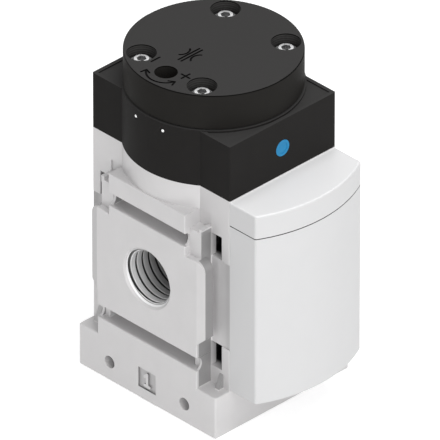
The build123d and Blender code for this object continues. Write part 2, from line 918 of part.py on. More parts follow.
# Spring between bottom plug and poppet
with BuildPart() as valve_spring:
    spring_rise = poppet_bottom - plug_top - 2 * (spring_wire_r + fit_gap)
    with BuildLine(level(plug_top + spring_wire_r + fit_gap)) as spring_path:
        Helix(spring_rise / spring_turns, spring_rise, spring_coil_r)
    with BuildSketch(Plane(origin=spring_path.line @ 0, z_dir=spring_path.line % 0)):
        Circle(spring_wire_r)
    sweep(is_frenet=True)
valve_spring.part.label = "valve_spring"
export_step(valve_spring.part, "parts/valve_spring.step")

# Pilot housing: block and cylinder
with BuildPart() as pilot_housing:
    with BuildSketch(level(body_top)):
        RectangleRounded(body_width, body_depth, body_corner)
    extrude(amount=block_top - body_top)
    with BuildSketch(level(body_top)):
        draw_bulge(bulge_r)
    extrude(amount=housing_height)

    # Recess round the cylinder, inside a thin rim
    with BuildSketch(level(block_top)):
        Rectangle(body_width - 2 * rim_width, body_depth - 2 * rim_width)
        Circle(bulge_r, mode=Mode.SUBTRACT)
    extrude(amount=-rim_depth, mode=Mode.SUBTRACT)

    # Gasket recess in the underside
    with BuildSketch(level(body_top)):
        draw_block_outline(gasket_inset, bulge_r - gasket_inset)
        Circle(gasket_inner_r, mode=Mode.SUBTRACT)
    extrude(amount=gasket_thickness, mode=Mode.SUBTRACT)

    # Piston bore and stem hole
    with BuildSketch(level(housing_top)):
        Circle(piston_bore_r)
    extrude(amount=piston_floor - housing_top, mode=Mode.SUBTRACT)
    with BuildSketch(level(body_top)):
        Circle(stem_r + stem_hole_play)
    extrude(amount=housing_floor, mode=Mode.SUBTRACT)

    # Screw holes and channels
    with BuildSketch(level(body_top)):
        with Locations(*screw_places):
            Circle(screw_r + screw_play)
    extrude(amount=housing_height, mode=Mode.SUBTRACT)
    with BuildSketch(level(body_top)):
        with Locations(*channel_places):
            Circle(channel_r)
    extrude(amount=ball_z - body_top, mode=Mode.SUBTRACT)
    with BuildSketch(side_plane(-bulge_r)):
        with Locations((0, ball_z)):
            with GridLocations(channel_spread, 0, 2, 1):
                Circle(ball_r + fit_gap)
    drilling_end = sqrt(piston_bore_r**2 - (channel_spread / 2) ** 2) - channel_r
    extrude(amount=bulge_r - drilling_end, mode=Mode.SUBTRACT)

    # Throttle bore, chamber and orifice, with the link to one channel
    for bottom, top, radius in (
        (body_top, chamber_floor - orifice_height, supply_r),
        (chamber_floor - orifice_height, chamber_floor, orifice_r),
        (chamber_floor, bush_bottom, throttle_chamber_r),
        (bush_bottom, housing_top, bush_r),
    ):
        with BuildSketch(level(bottom)):
            with Locations((throttle_x, 0)):
                Circle(radius)
        extrude(amount=top - bottom, mode=Mode.SUBTRACT)
    with BuildSketch(level(chamber_floor)):
        draw_stroke((throttle_x, 0), channel_places[1], 2 * channel_r)
    extrude(amount=2 * channel_r, mode=Mode.SUBTRACT)

    # Hole for the front plug and the vent behind it
    with BuildSketch(front_plane(front_y)):
        with Locations((0, front_plug_z)):
            Circle(front_plug_r + fit_gap)
    extrude(amount=-front_plug_length, mode=Mode.SUBTRACT)
    with BuildSketch(front_plane(front_y)):
        with Locations((0, front_plug_z)):
            Circle(vent_r)
    extrude(amount=piston_bore_r - vent_r - front_y, mode=Mode.SUBTRACT)
pilot_housing.part.label = "pilot_housing"
export_step(pilot_housing.part, "parts/pilot_housing.step")

with BuildPart() as housing_gasket:
    with BuildSketch(level(body_top)):
        draw_block_outline(gasket_inset + fit_gap, bulge_r - gasket_inset - fit_gap)
        Circle(gasket_inner_r + fit_gap, mode=Mode.SUBTRACT)
        with Locations(*screw_places):
            Circle(screw_r + gasket_allowance, mode=Mode.SUBTRACT)
        with Locations(*channel_places):
            Circle(channel_r + gasket_allowance, mode=Mode.SUBTRACT)
        with Locations((throttle_x, 0)):
            Circle(supply_r + gasket_allowance, mode=Mode.SUBTRACT)
    extrude(amount=gasket_thickness)
housing_gasket.part.label = "housing_gasket"
export_step(housing_gasket.part, "parts/housing_gasket.step")

# Bush, screw and seal of the throttle
with BuildPart() as throttle_bush:
    with BuildSketch(level(bush_bottom)):
        with Locations((throttle_x, 0)):
            Circle(bush_r - fit_gap)
            Circle(throttle_thread_r + running_gap, mode=Mode.SUBTRACT)
    extrude(amount=bush_length)
    with BuildSketch(level(bush_top)):
        with Locations((throttle_x, 0)):
            Circle(throttle_shank_r + running_gap)
    extrude(amount=bush_step - bush_length, mode=Mode.SUBTRACT)
throttle_bush.part.label = "throttle_bush"
export_step(throttle_bush.part, "parts/throttle_bush.step")

needle_rise = (orifice_r - running_gap - needle_tip_r) * needle_length / (needle_r - needle_tip_r)
needle_tip = chamber_floor - needle_rise
needle_top = needle_tip + needle_length
throttle_seal_middle_r = throttle_shank_r + running_gap - throttle_seal_cord / 2
throttle_groove_r = throttle_seal_middle_r - throttle_seal_cord / 2
throttle_groove_bottom = shank_bottom + throttle_groove_lift
throttle_groove_top = throttle_groove_bottom + throttle_groove_height
with BuildPart() as throttle_screw:
    with BuildSketch(section_plane):
        with Locations((throttle_x, 0)):
            draw_polygon(
                [
                    (0, needle_tip),
                    (needle_tip_r, needle_tip),
                    (needle_r, needle_top),
                    (needle_r, needle_top + needle_neck),
                    (throttle_thread_r, needle_top + needle_neck),
                    (throttle_thread_r, shank_bottom),
                    (throttle_shank_r, shank_bottom),
                    (throttle_shank_r, throttle_groove_bottom),
                    (throttle_groove_r, throttle_groove_bottom),
                    (throttle_groove_r, throttle_groove_top),
                    (throttle_shank_r, throttle_groove_top),
                    (throttle_shank_r, shank_top),
                    (0, shank_top),
                ]
            )
    revolve(axis=throttle_axis)
    with BuildSketch(level(shank_top)):
        with Locations((throttle_x, 0)):
            Rectangle(2 * throttle_shank_r, slot_cut_width)
    extrude(amount=-slot_cut_depth, mode=Mode.SUBTRACT)
throttle_screw.part.label = "throttle_screw"
export_step(throttle_screw.part, "parts/throttle_screw.step")

with BuildPart() as throttle_seal:
    with BuildSketch(section_plane):
        with Locations((throttle_x, (throttle_groove_bottom + throttle_groove_top) / 2)):
            draw_cord(throttle_seal_middle_r, 0, throttle_seal_cord)
    revolve(axis=throttle_axis)
throttle_seal.part.label = "throttle_seal"
export_step(throttle_seal.part, "parts/throttle_seal.step")

# Round cap with counterbores, adjusting hole and engraved marks
with BuildPart() as pilot_cap:
    with BuildSketch(level(housing_top)):
        Circle(cap_r)
    extrude(amount=cap_height)
    fillet(pilot_cap.edges().group_by(Axis.Z)[-1], cap_edge_r)
    with BuildSketch(level(housing_top)):
        Circle(cap_r)
        Circle(cap_r - cap_gap_depth, mode=Mode.SUBTRACT)
    extrude(amount=cap_gap_height, mode=Mode.SUBTRACT)
    with BuildSketch(level(housing_top)):
        Circle(cap_gasket_r + fit_gap)
    extrude(amount=cap_gasket_thickness, mode=Mode.SUBTRACT)
    with BuildSketch(level(housing_top)):
        Circle(cap_cavity_r)
    extrude(amount=cap_gasket_thickness + cap_cavity_depth, mode=Mode.SUBTRACT)
    with BuildSketch(level(housing_top)):
        with Locations(*screw_places):
            Circle(screw_r + screw_play)
        with Locations((throttle_x, 0)):
            Circle(access_r)
    extrude(amount=cap_height, mode=Mode.SUBTRACT)
    with BuildSketch(level(screw_seat)):
        with Locations(*screw_places):
            Circle(counterbore_r)
    extrude(amount=cap_top - screw_seat, mode=Mode.SUBTRACT)
    with BuildSketch(level(cap_top)):
        draw_marks()
    extrude(amount=-mark_depth, mode=Mode.SUBTRACT)
pilot_cap.part.label = "pilot_cap"
export_step(pilot_cap.part, "parts/pilot_cap.step")

with BuildPart() as cap_gasket:
    with BuildSketch(level(housing_top)):
        Circle(cap_gasket_r)
        Circle(piston_bore_r, mode=Mode.SUBTRACT)
        with Locations(*screw_places):
            Circle(screw_r + gasket_allowance, mode=Mode.SUBTRACT)
        with Locations((throttle_x, 0)):
            Circle(access_r, mode=Mode.SUBTRACT)
    extrude(amount=cap_gasket_thickness)
cap_gasket.part.label = "cap_gasket"
export_step(cap_gasket.part, "parts/cap_gasket.step")

# Four long screws with flanged heads
with BuildPart() as cap_screws:
    for bottom, top, radius in (
        (screw_tip, screw_seat, screw_r),
        (screw_seat, screw_seat + screw_flange_height, screw_flange_r),
        (screw_seat, cap_top - screw_head_drop, screw_head_r),
    ):
        with BuildSketch(level(bottom)):
            with Locations(*screw_places):
                Circle(radius)
        extrude(amount=top - bottom)
    with BuildSketch(level(cap_top - screw_head_drop)):
        with Locations(*screw_places):
            RegularPolygon(screw_socket_flats / 2, 6, major_radius=False)
    extrude(amount=-screw_socket_depth, mode=Mode.SUBTRACT)
cap_screws.part.label = "cap_screws"
export_step(cap_screws.part, "parts/cap_screws.step")

# Balls that close the two cross drillings, and the plug in the front
with BuildPart() as channel_balls:
    ball_x = ball_sink - sqrt(bulge_r**2 - (channel_spread / 2) ** 2)
    with Locations(side_plane(ball_x)):
        with Locations((-channel_spread / 2, ball_z), (channel_spread / 2, ball_z)):
            Sphere(ball_r)
channel_balls.part.label = "channel_balls"
export_step(channel_balls.part, "parts/channel_balls.step")

with BuildPart() as front_plug:
    with BuildSketch(front_plane(front_y)):
        with Locations((0, front_plug_z)):
            Circle(front_plug_r)
    extrude(amount=-front_plug_length)
    with BuildSketch(front_plane(front_y)):
        with Locations((0, front_plug_z)):
            Circle(front_plug_dish_r)
    extrude(amount=-front_plug_dish_depth, mode=Mode.SUBTRACT)
front_plug.part.label = "front_plug"
export_step(front_plug.part, "parts/front_plug.step")

# Front cover: shell open towards the body, with two bars that carry the pegs
with BuildPart() as front_cover:
    with BuildSketch(level(cover_bottom)) as cover_plan:
        draw_cover_outline(0)
        fillet(cover_plan.vertices().group_by(Axis.Y)[0], cover_corner_r)
    extrude(amount=seam_z - cover_bottom)
    with BuildSketch(level(cover_bottom + cover_wall)):
        draw_cover_outline(cover_wall)
    extrude(amount=seam_z - cover_bottom - 2 * cover_wall, mode=Mode.SUBTRACT)
    with BuildSketch(front_plane(front_y)):
        with Locations(*[(0, height) for x, height in cover_peg_places if x > 0]):
            Rectangle(body_width - cover_wall, bar_height)
    extrude(amount=cover_wall)
    with BuildSketch(front_plane(front_y)):
        with Locations(*cover_peg_places):
            Circle(peg_r)
    extrude(amount=-peg_length)
front_cover.part.label = "front_cover"
export_step(front_cover.part, "parts/front_cover.step")

# Top strip of the cover, above the seam
with BuildPart() as cover_top_strip:
    with BuildSketch(level(strip_bottom)) as strip_plan:
        draw_cover_outline(0)
        fillet(strip_plan.vertices().group_by(Axis.Y)[0], cover_corner_r)
    extrude(amount=strip_top - strip_bottom)
    top_edges = cover_top_strip.edges().group_by(Axis.Z)[-1]
    fillet(top_edges.sort_by(Axis.Y)[:-1], cover_edge_r)
    with BuildSketch(level(strip_bottom)):
        draw_cover_outline(cover_wall)
    extrude(amount=strip_top - strip_bottom - cover_wall, mode=Mode.SUBTRACT)
    with BuildSketch(front_plane(front_y)):
        with Locations((0, strip_middle)):
            Rectangle(body_width - cover_wall, strip_top - strip_bottom - cover_wall)
    extrude(amount=cover_wall)
    with BuildSketch(front_plane(front_y)):
        with Locations(*strip_peg_places):
            Circle(peg_r)
    extrude(amount=-peg_length)
cover_top_strip.part.label = "cover_top_strip"
export_step(cover_top_strip.part, "parts/cover_top_strip.step")
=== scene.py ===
import json
from math import cos, pi, radians, sin

import bmesh
import bpy
from mathutils import Matrix, Vector


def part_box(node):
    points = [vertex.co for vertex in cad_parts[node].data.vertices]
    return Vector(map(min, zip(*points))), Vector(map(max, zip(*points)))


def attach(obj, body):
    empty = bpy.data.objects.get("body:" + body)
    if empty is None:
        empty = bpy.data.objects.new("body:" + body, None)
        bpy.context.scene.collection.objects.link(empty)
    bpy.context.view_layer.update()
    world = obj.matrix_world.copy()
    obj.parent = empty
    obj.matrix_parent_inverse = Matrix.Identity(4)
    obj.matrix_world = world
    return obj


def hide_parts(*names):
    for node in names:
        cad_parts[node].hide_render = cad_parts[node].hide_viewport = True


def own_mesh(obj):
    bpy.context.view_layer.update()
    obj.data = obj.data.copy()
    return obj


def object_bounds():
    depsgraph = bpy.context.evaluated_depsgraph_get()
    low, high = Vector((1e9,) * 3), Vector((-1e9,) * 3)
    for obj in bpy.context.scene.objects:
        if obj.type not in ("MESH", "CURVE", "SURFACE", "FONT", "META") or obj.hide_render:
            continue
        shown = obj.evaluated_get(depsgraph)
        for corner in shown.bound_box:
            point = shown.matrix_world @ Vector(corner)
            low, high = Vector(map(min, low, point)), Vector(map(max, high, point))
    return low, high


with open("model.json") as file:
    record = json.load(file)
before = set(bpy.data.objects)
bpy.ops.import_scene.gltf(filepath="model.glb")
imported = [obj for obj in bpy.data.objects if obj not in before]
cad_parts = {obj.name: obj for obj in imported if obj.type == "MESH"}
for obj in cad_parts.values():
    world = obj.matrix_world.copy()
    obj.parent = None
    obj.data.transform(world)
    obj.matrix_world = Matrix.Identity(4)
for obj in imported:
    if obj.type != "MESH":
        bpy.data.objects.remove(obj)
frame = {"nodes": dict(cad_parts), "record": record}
cad_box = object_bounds()

MM = 0.001

# Camera, fitted to the photograph
camera_azimuth = -44.41
camera_elevation = 32.81
camera_distance = 6.052
camera_lens = 1500.0
camera_sensor = 36.0
camera_near = 0.5
camera_far = 50
look_at_y = -2.9 * MM
look_at_z = 58.8 * MM

# Light levels: 1 is the level at which a facing colour renders as it is written
ambient_level = 0.35
top_level = 0.6
key_level = 0.5
lamp_distance = 1.6
lamp_size = 1.2

# Floor
floor_reach = 4.0
floor_gap = 0.02 * MM
floor_colour = (0.8, 0.8, 0.8, 1)
floor_rough = 0.9
floor_glow = 0.5

# Port thread, with its turns as far apart as the photograph shows them
thread_pitch = 2.9 * MM
thread_depth = 0.95 * MM
thread_groove = 1.05 * MM
thread_shift = 1.26 * MM
thread_clearance = 0.02 * MM
thread_steps = 96
land_parts = 6
thread_start = radians(225)
weld_distance = 1e-7

# Places worked out from the frame
mounts = {mount["name"]: mount for mount in frame["record"]["mounts"]}
port_place = Vector(mounts["port_1"]["pos_m"])
axis_y = port_place.y
port_z = port_place.z
port_r = mounts["port_1"]["dims"]["r_mm"] * MM
port_length = mounts["port_1"]["dims"]["length_mm"] * MM
port_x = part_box("valve_body")[1].x
cap_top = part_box("pilot_cap")[1].z
screw_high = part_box("cap_screws")[1]
side_x = abs(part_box("front_cover")[0].x)
seam_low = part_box("front_cover")[1].z
seam_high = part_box("cover_top_strip")[0].z

# Screws in the cap and their counterbores
flange_r = 4.0 * MM
counterbore_r = 5.05 * MM
screw_x = screw_high.x - flange_r
screw_y = screw_high.y - axis_y - flange_r
head_top = screw_high.z
head_floor = head_top - 1.4 * MM
socket_r = 1.75 * MM

# Recesses and other places of the casting where shade is painted, measured from the valve axis
flank_y = 23.4 * MM
flank_bottom = 16.3 * MM
flank_top = 76.5 * MM
plate_half = 26.7 * MM
groove_ends = ((22.4 * MM, 22.8 * MM, 27.7 * MM), (16.9 * MM, 69.1 * MM, 74.0 * MM))
panel_bottom = 31.7 * MM
panel_top = 65.6 * MM
margin_x = port_x - 0.95 * MM
slot_reach = 2.4 * MM
slot_inner = 20.0 * MM
slot_outer = 28.8 * MM
number_half = 4.15 * MM
number_top = 12.1 * MM

# Soft edges of the shaded places
soft_edge = 0.15 * MM
crisp_edge = 0.1 * MM
sharp_edge = 0.05 * MM

# Lengths over which a shade fades
back_fade = 1 * MM
panel_fade = 4.0 * MM
slot_fade = 1.5 * MM
port_fade_start = port_x - 3.5 * MM
port_fade_end = port_x - 13 * MM

# Painted shade and light on the casting, as multiples of its colour
flank_level = 0.5
flank_back_level = 1.55
panel_level = 1.25
panel_outer_level = 0.66
panel_back_level = 0.72
groove_end_level = 0.5
margin_back_level = 0.84
upward_level = 0.92
slot_level = 0.03
port_level = 0.35
valley_level = 0.04
number_box_level = 0.8
number_wall_level = 0.4

# Painted light and shade on the other pieces; the first colour is painted light on the upward faces of
# the black pieces
top_light_colour = (0.044, 0.043, 0.0425)
counterbore_level = 1.3
mark_level = 0.12
head_level = 0.5
socket_level = 0.3
cover_top_level = 1.13
seam_level = 0.15

# Rings of painted light in the counterbores: their spacing, mean strength and swing
ring_pitch = 0.9 * MM
ring_mean = 0.65
ring_swing = 0.35

# Noise lies mostly between these two values
noise_low = 0.3
noise_high = 0.7

# Roughness of the noise, size of the colour's clouds in grains, and swing of the gloss
noise_roughness = 0.6
cloud_size = 40
gloss_spread = 0.05


def new_material(name):
    """Empty principled material: returns the material, its node tree and its shader."""
    material = bpy.data.materials.new(name)
    material.use_nodes = True
    tree = material.node_tree
    return material, tree, tree.nodes["Principled BSDF"]


def position(tree):
    """Position in the row frame, in metres."""
    return tree.nodes.new("ShaderNodeTexCoord").outputs["Object"]


def parts_of(tree, vector):
    """The X, Y and Z of a vector."""
    split = tree.nodes.new("ShaderNodeSeparateXYZ")
    tree.links.new(vector, split.inputs["Vector"])
    return split.outputs["X"], split.outputs["Y"], split.outputs["Z"]


def math(tree, operation, first, second=None):
    """Result of one math node; either operand is a socket or a number."""
    node = tree.nodes.new("ShaderNodeMath")
    node.operation = operation
    for number, operand in enumerate((first, second)):
        if operand is None:
            continue
        if isinstance(operand, (int, float)):
            node.inputs[number].default_value = operand
        else:
            tree.links.new(operand, node.inputs[number])
    return node.outputs[0]


def diagonal(tree, first, second):
    """Length of the diagonal over two distances at right angles."""
    first = math(tree, "MULTIPLY", first, first)
    second = math(tree, "MULTIPLY", second, second)
    return math(tree, "POWER", math(tree, "ADD", first, second), 0.5)


def noise(tree, grain, detail=3.0):
    """Noise from 0 to 1 whose grains are about the given size in metres."""
    node = tree.nodes.new("ShaderNodeTexNoise")
    node.inputs["Scale"].default_value = 1 / grain
    node.inputs["Detail"].default_value = detail
    node.inputs["Roughness"].default_value = noise_roughness
    tree.links.new(position(tree), node.inputs["Vector"])
    return node.outputs["Fac"]


def ramp(tree, socket, start, end):
    """0 below the start, 1 above the end, straight between; the start may be the higher one."""
    node = tree.nodes.new("ShaderNodeMapRange")
    node.inputs["From Min"].default_value = start
    node.inputs["From Max"].default_value = end
    tree.links.new(socket, node.inputs["Value"])
    return node.outputs["Result"]


def both(tree, *masks):
    """Product of any number of masks."""
    result = masks[0]
    for mask in masks[1:]:
        result = math(tree, "MULTIPLY", result, mask)
    return result


def band(tree, socket, low, high, edge):
    """1 between two levels, apart from a soft edge inside each."""
    return both(tree, ramp(tree, socket, low, low + edge), ramp(tree, socket, high, high - edge))


def height(tree):
    """Height above the base."""
    return parts_of(tree, position(tree))[2]


def spread(tree, socket, low, high):
    """A 0 to 1 value, stretched to run from low to high."""
    node = tree.nodes.new("ShaderNodeMapRange")
    node.inputs["From Min"].default_value = noise_low
    node.inputs["From Max"].default_value = noise_high
    node.inputs["To Min"].default_value = low
    node.inputs["To Max"].default_value = high
    tree.links.new(socket, node.inputs["Value"])
    return node.outputs["Result"]


def mix_colour(tree, factor, first, second):
    """Colour that runs from first to second with the factor."""
    node = tree.nodes.new("ShaderNodeMix")
    node.data_type = "RGBA"
    for name, operand in (("Factor", factor), ("A", first), ("B", second)):
        sockets = [s for s in node.inputs if s.name == name and s.type in ("VALUE", "RGBA")]
        socket = sockets[0] if name == "Factor" else sockets[-1]
        if hasattr(operand, "is_linked"):
            tree.links.new(operand, socket)
        else:
            socket.default_value = operand
    return [s for s in node.outputs if s.type == "RGBA"][0]


def shade(colour, factor):
    """The colour made lighter or darker by a factor, with alpha."""
    return tuple(min(1.0, part * factor) for part in colour) + (1.0,)


def bump(tree, shader, pattern, relief):
    """Bump that follows a pattern, with its relief in metres."""
    node = tree.nodes.new("ShaderNodeBump")
    node.inputs["Strength"].default_value = 1.0
    node.inputs["Distance"].default_value = relief
    tree.links.new(pattern, node.inputs["Height"])
    tree.links.new(node.outputs["Normal"], shader.inputs["Normal"])


def grained_material(
    name,
    colour,
    rough,
    grain,
    relief,
    variation=0.03,
    metallic=0.0,
    specular=0.5,
    detail=None,
):
    """Surface with a fine grain, slow colour variation and uneven gloss."""
    material, tree, shader = new_material(name)
    cloud = noise(tree, cloud_size * grain)
    light = shade(colour, 1 + variation)
    dark = shade(colour, 1 - variation)
    factor = spread(tree, cloud, 0.0, 1.0)
    surface = mix_colour(tree, factor, dark, light)
    if detail is not None:
        surface = detail(tree, surface)
    tree.links.new(surface, shader.inputs["Base Color"])
    shader.inputs["Specular IOR Level"].default_value = specular
    fine = noise(tree, grain)
    gloss = spread(tree, fine, rough - gloss_spread, rough + gloss_spread)
    tree.links.new(gloss, shader.inputs["Roughness"])
    shader.inputs["Metallic"].default_value = metallic
    bump(tree, shader, fine, relief)
    return material


def metal_material(name, colour, rough, grain, relief, metallic=1.0, detail=None):
    """Bare metal with a fine unevenness in its colour and gloss."""
    material, tree, shader = new_material(name)
    fine = noise(tree, grain, detail=1.0)
    light = shade(colour, 1.05)
    dark = shade(colour, 0.93)
    factor = spread(tree, fine, 0.0, 1.0)
    surface = mix_colour(tree, factor, dark, light)
    if detail is not None:
        surface = detail(tree, surface)
    tree.links.new(surface, shader.inputs["Base Color"])
    tree.links.new(spread(tree, fine, rough * 0.8, rough * 1.2), shader.inputs["Roughness"])
    shader.inputs["Metallic"].default_value = metallic
    bump(tree, shader, fine, relief)
    return material


def tone(tree, surface, mask, level):
    """The surface's colour, multiplied by a level where the mask is 1."""
    factor = math(tree, "ADD", math(tree, "MULTIPLY", mask, level - 1), 1.0)
    scaled = tree.nodes.new("ShaderNodeVectorMath")
    scaled.operation = "SCALE"
    tree.links.new(surface, scaled.inputs["Vector"])
    tree.links.new(factor, scaled.inputs["Scale"])
    return scaled.outputs["Vector"]


def near_screws(tree, radius):
    """1 within a radius of any cap screw's axis, with a soft edge outside it."""
    x, y, _ = parts_of(tree, position(tree))
    total = 0.0
    for sign_x, sign_y in ((-1, -1), (-1, 1), (1, -1), (1, 1)):
        across = math(tree, "SUBTRACT", x, sign_x * screw_x)
        along = math(tree, "SUBTRACT", y, axis_y + sign_y * screw_y)
        near = ramp(tree, diagonal(tree, across, along), radius + crisp_edge, radius)
        total = math(tree, "ADD", near, total)
    return total


def facing_up(tree):
    """1 where a face looks upwards."""
    normal = tree.nodes.new("ShaderNodeTexCoord").outputs["Normal"]
    return ramp(tree, parts_of(tree, normal)[2], 0.6, 0.95)


def side_painted_shading(tree, surface, x, y, z, behind):
    """Painted shade on the sides and panels beside the plates, on the end walls of the grooves and on
    the rear margins of the plates, with painted light on the panels next to the plates and lighter
    shade on the far flanks.
    """
    beside = ramp(tree, y, flank_y, flank_y + sharp_edge)
    outside = ramp(tree, x, side_x + sharp_edge, side_x + 2 * sharp_edge)
    flank = both(
        tree,
        beside,
        ramp(tree, x, margin_x, margin_x - soft_edge),
        outside,
        band(tree, z, flank_bottom, flank_top, soft_edge),
    )
    surface = tone(tree, surface, flank, flank_level)
    surface = tone(tree, surface, both(tree, flank, behind), flank_back_level)
    panel = both(
        tree,
        beside,
        ramp(tree, x, side_x - 0.1 * MM, side_x - 0.3 * MM),
        ramp(tree, x, side_x - 1.0 * MM, side_x - 0.6 * MM),
        band(tree, z, panel_bottom, panel_top, soft_edge),
    )
    surface = tone(tree, surface, panel, panel_level)
    fade = ramp(tree, y, plate_half, plate_half + panel_fade)
    surface = tone(tree, surface, both(tree, panel, fade), panel_outer_level)
    surface = tone(tree, surface, both(tree, panel, behind), panel_back_level)
    for wall_y, wall_low, wall_high in groove_ends:
        ends = both(
            tree,
            band(tree, y, wall_y - 0.2 * MM, wall_y + 0.2 * MM, crisp_edge),
            outside,
            band(tree, z, wall_low, wall_high, soft_edge),
        )
        surface = tone(tree, surface, ends, groove_end_level)
    margin = both(
        tree,
        behind,
        ramp(tree, y, flank_y + soft_edge, flank_y + 2 * soft_edge),
        ramp(tree, x, margin_x, margin_x + soft_edge),
        ramp(tree, z, panel_bottom, panel_bottom + soft_edge),
    )
    return tone(tree, surface, margin, margin_back_level)


def port_painted_shade(tree, surface, x, y, z):
    """Painted shade deeper in the ports, and in the grooves between the turns of their threads."""
    radius = diagonal(tree, y, math(tree, "SUBTRACT", z, port_z))
    bore = ramp(tree, radius, port_r + 0.3 * MM, port_r + 0.2 * MM)
    deep = ramp(tree, x, port_fade_start, port_fade_end)
    surface = tone(tree, surface, both(tree, bore, deep), port_level)
    crest_r = port_r - thread_depth
    valley = ramp(tree, radius, crest_r + 0.1 * MM, crest_r + 0.3 * MM)
    inside = ramp(tree, x, port_x - 1.2 * MM, port_x - 1.4 * MM)
    return tone(tree, surface, both(tree, bore, valley, inside), valley_level)


def number_painted_shade(tree, surface, x, y, z):
    """Painted shade on the floor of the sunk number box below each port, darker still on the walls
    round it and its figure.
    """
    box = both(
        tree,
        ramp(tree, x, port_x - 0.08 * MM, port_x - 0.12 * MM),
        ramp(tree, x, port_x - 1.0 * MM, port_x - 0.9 * MM),
        ramp(tree, y, number_half + crisp_edge, number_half),
        ramp(tree, z, number_top + crisp_edge, number_top),
    )
    surface = tone(tree, surface, box, number_box_level)
    walls = ramp(tree, x, port_x - 0.65 * MM, port_x - 0.6 * MM)
    return tone(tree, surface, both(tree, box, walls), number_wall_level)


def cast_painted_shading(tree, surface):
    """Painted shade and light on the casting, by distance from the middle along X and from the valve
    axis along Y.
    """
    signed_x, signed_y, z = parts_of(tree, position(tree))
    x = math(tree, "ABSOLUTE", signed_x)
    y = math(tree, "ABSOLUTE", math(tree, "SUBTRACT", signed_y, axis_y))
    behind = ramp(tree, signed_y, axis_y, axis_y + back_fade)
    surface = side_painted_shading(tree, surface, x, y, z, behind)
    # Painted shade on the upward faces of the casting
    surface = tone(tree, surface, facing_up(tree), upward_level)
    # Slots painted almost black, as painted shade in their depth
    slot_x = side_x - slot_reach
    slots = both(
        tree,
        ramp(tree, x, slot_x, slot_x - slot_fade),
        band(tree, y, slot_inner, slot_outer, soft_edge),
    )
    surface = tone(tree, surface, slots, slot_level)
    surface = port_painted_shade(tree, surface, x, y, z)
    return number_painted_shade(tree, surface, x, y, z)


def machined_material():
    """Freshly cut metal of the ports: fine rings round the port, with the painted shade and light of
    the casting.
    """
    material, tree, shader = new_material("machined_cast")
    mapping = tree.nodes.new("ShaderNodeMapping")
    mapping.inputs["Scale"].default_value = (1, 0.04, 0.04)
    tree.links.new(position(tree), mapping.inputs["Vector"])
    node = tree.nodes.new("ShaderNodeTexNoise")
    node.inputs["Scale"].default_value = 1 / (0.35 * MM)
    node.inputs["Detail"].default_value = 1.0
    tree.links.new(mapping.outputs["Vector"], node.inputs["Vector"])
    ring = node.outputs["Fac"]
    factor = spread(tree, ring, 0.0, 1.0)
    surface = mix_colour(tree, factor, (0.8, 0.795, 0.8, 1), (0.97, 0.97, 0.975, 1))
    tree.links.new(cast_painted_shading(tree, surface), shader.inputs["Base Color"])
    shader.inputs["Metallic"].default_value = 0.2
    tree.links.new(spread(tree, ring, 0.28, 0.42), shader.inputs["Roughness"])
    bump(tree, shader, ring, 0.01 * MM)
    return material


def cap_painted_shading(tree, surface):
    """Painted light on the top face and in rings in the counterbores, and painted shade in the
    engraved marks.
    """
    z = height(tree)
    top = both(tree, facing_up(tree), ramp(tree, z, cap_top - 0.5 * MM, cap_top - 0.4 * MM))
    surface = mix_colour(tree, top, surface, shade(top_light_colour, 1.0))
    # Rings of painted light on the counterbore walls
    wave = math(tree, "SINE", math(tree, "MULTIPLY", z, 2 * pi / ring_pitch))
    rings = math(tree, "ADD", math(tree, "MULTIPLY", wave, ring_swing), ring_mean)
    bores = near_screws(tree, counterbore_r + crisp_edge)
    low = ramp(tree, z, cap_top - 0.3 * MM, cap_top - 0.5 * MM)
    inside = both(tree, bores, low, rings)
    surface = mix_colour(tree, inside, surface, shade(top_light_colour, counterbore_level))
    # Painted shade in the engraved marks
    marks = band(tree, z, cap_top - 0.45 * MM, cap_top - 0.05 * MM, sharp_edge)
    return tone(tree, surface, marks, mark_level)


def screw_painted_shade(tree, surface):
    """Painted shade on the side of each screw head and in its socket."""
    z = height(tree)
    side = band(tree, z, head_floor + 0.04 * MM, head_top - 0.06 * MM, 0.06 * MM)
    surface = tone(tree, surface, side, head_level)
    floor = ramp(tree, z, head_floor, head_floor - soft_edge)
    close = math(tree, "MINIMUM", near_screws(tree, socket_r), 1.0)
    return tone(tree, surface, both(tree, floor, close), socket_level)


def cover_painted_shading(tree, surface):
    """Painted light on the cover's top face, a little paler than its walls, and painted shade in the
    seam.
    """
    z = height(tree)
    seam = band(tree, z, seam_low - 0.04 * MM, seam_high + 0.04 * MM, 0.02 * MM)
    surface = tone(tree, surface, facing_up(tree), cover_top_level)
    return tone(tree, surface, seam, seam_level)


def housing_painted_light(tree, surface):
    """Painted light on the roof of the housing, paler than its walls."""
    return mix_colour(tree, facing_up(tree), surface, shade(top_light_colour, 1.0))


